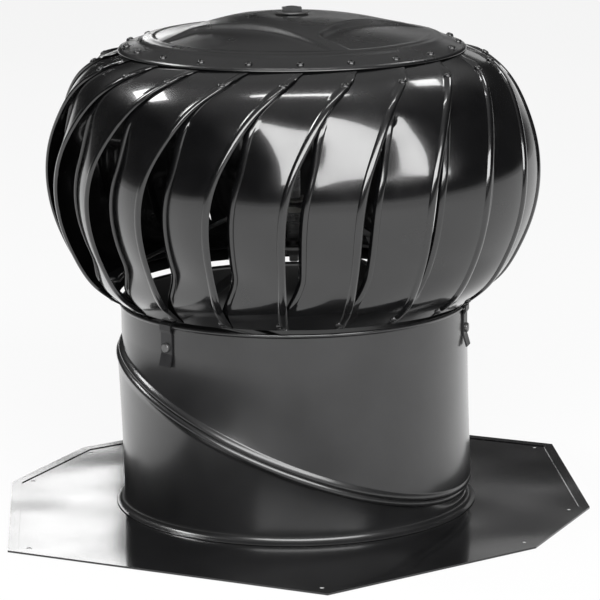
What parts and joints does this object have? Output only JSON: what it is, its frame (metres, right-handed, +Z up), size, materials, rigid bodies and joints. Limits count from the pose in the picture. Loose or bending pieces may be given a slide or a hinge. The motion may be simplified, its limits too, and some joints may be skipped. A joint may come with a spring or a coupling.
{
  "type": "roof turbine ventilator",
  "caption": "Wind-driven roof ventilator: a bulbous bladed head spins on a braced spindle over a round collar with a slanted swivel seam, on a flat flashing sheet with cut corners.",
  "frame": {"origin": "centre of the flat underside of the flashing, on the axis of the throat", "axes": "+Z up along the throat and the spindle; the flashing's two longer sides face +Y and -Y, its shorter ones +X and -X"},
  "size_m": [0.508, 0.508, 0.4389],
  "materials": {
    "blade_paint": "gloss",
    "dome_paint": "satin",
    "collar_paint": "satin",
    "flashing_paint": "satin",
    "leg_paint": "satin",
    "ring_paint": "satin",
    "cap_nut_paint": "satin",
    "strap_steel": "satin",
    "zinc_screw": "satin",
    "rivet_metal": "satin",
    "shaft_steel": "satin",
    "bearing_steel": "polished",
    "bush_plastic": "matte"
  },
  "bodies": {
    "base": {"flashing_plate": "flashing_paint", "lower_collar": "collar_paint"},
    "swivel": {"upper_collar": "collar_paint", "brace_leg_1": "leg_paint", "brace_leg_2": "leg_paint", "brace_leg_3": "leg_paint", "brace_screws": "zinc_screw", "brace_nuts": "zinc_screw", "brace_hub": "strap_steel", "brace_hub_rivets": "rivet_metal", "spindle": "shaft_steel", "spindle_foot_nut": "zinc_screw", "spindle_top_nut": "zinc_screw", "inner_race": "bearing_steel"},
    "rotor": {"outer_race": "bearing_steel", "bearing_balls": "bearing_steel", "bearing_housing": "shaft_steel", "retaining_ring": "shaft_steel", "dome_cap": "dome_paint", "cap_washer": "zinc_screw", "cap_nut": "cap_nut_paint", "blade_01": "blade_paint", "blade_02": "blade_paint", "blade_03": "blade_paint", "blade_04": "blade_paint", "blade_05": "blade_paint", "blade_06": "blade_paint", "blade_07": "blade_paint", "blade_08": "blade_paint", "blade_09": "blade_paint", "blade_10": "blade_paint", "blade_11": "blade_paint", "blade_12": "blade_paint", "blade_13": "blade_paint", "blade_14": "blade_paint", "blade_15": "blade_paint", "blade_16": "blade_paint", "blade_17": "blade_paint", "blade_18": "blade_paint", "blade_19": "blade_paint", "blade_20": "blade_paint", "blade_21": "blade_paint", "bottom_ring": "ring_paint", "spider_arm_1": "strap_steel", "spider_arm_2": "strap_steel", "spider_arm_3": "strap_steel", "spider_hub": "strap_steel", "spider_hub_rivets": "rivet_metal", "spider_ring_rivets": "rivet_metal", "lower_bush": "bush_plastic"}
  },
  "joints": [
    {"name": "pitch_swivel", "type": "hinge", "parent": "base", "child": "swivel", "pos_m": [0, 0, 0.082], "axis": [0.3763, 0.0697, 0.9239], "range_deg": [-180, 180]},
    {"name": "rotor_spin", "type": "hinge", "parent": "swivel", "child": "rotor", "pos_m": [0, 0, 0.3], "axis": [0, 0, 1], "continuous": true}
  ]
}
